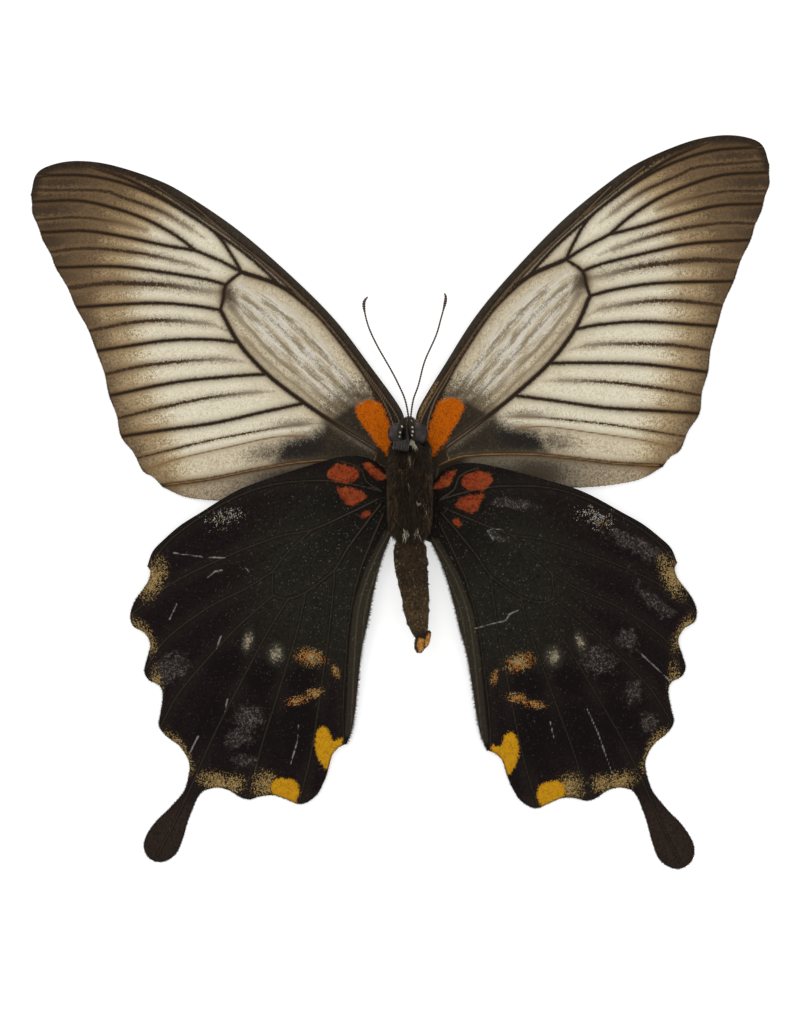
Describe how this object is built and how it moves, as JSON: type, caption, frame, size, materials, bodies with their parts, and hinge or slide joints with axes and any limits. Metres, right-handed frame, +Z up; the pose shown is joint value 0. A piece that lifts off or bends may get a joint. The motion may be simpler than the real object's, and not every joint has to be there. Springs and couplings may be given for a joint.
{
  "type": "great yellow mormon butterfly, spread dried specimen",
  "caption": "Spread, dried tailed butterfly lying on its back, underside up, with clubbed feelers, folded legs and vein-ridged wings.",
  "frame": {"origin": "middle of the flat on the back of the thorax, on the surface that the specimen lies on", "axes": "+Z is up, out of the underside; +Y points from tail to head; -X is the left of the picture"},
  "size_m": [0.1201, 0.1192, 0.0083],
  "materials": {
    "thorax": "short matt hair, dark brown",
    "abdomen": "matt scales, dark brown, greyer at the rings",
    "head": "short matt hair, dark brown",
    "eye": "dull grey-brown, dried",
    "palp": "cream scales with dark rows",
    "proboscis": "dark horn",
    "antenna": "dark brown horn",
    "leg": "brown, scaled",
    "valve": "golden scales",
    "forewing": "cream scales, dark veins, orange base",
    "hindwing": "blackish scales, reddish base spots, yellow edge spots"
  },
  "bodies": {
    "root": {"thorax": "thorax", "head": "head", "eye_left": "eye", "eye_right": "eye", "abdomen": "abdomen", "valve_left": "valve", "valve_right": "valve", "antenna_left": "antenna", "antenna_right": "antenna", "palp_left": "palp", "palp_right": "palp", "proboscis": "proboscis", "foreleg_left": "leg", "foreleg_right": "leg", "midleg_left": "leg", "midleg_right": "leg", "hindleg_left": "leg", "hindleg_right": "leg", "forewing_left": "forewing", "forewing_right": "forewing", "hindwing_left": "hindwing", "hindwing_right": "hindwing"}
  },
  "joints": []
}
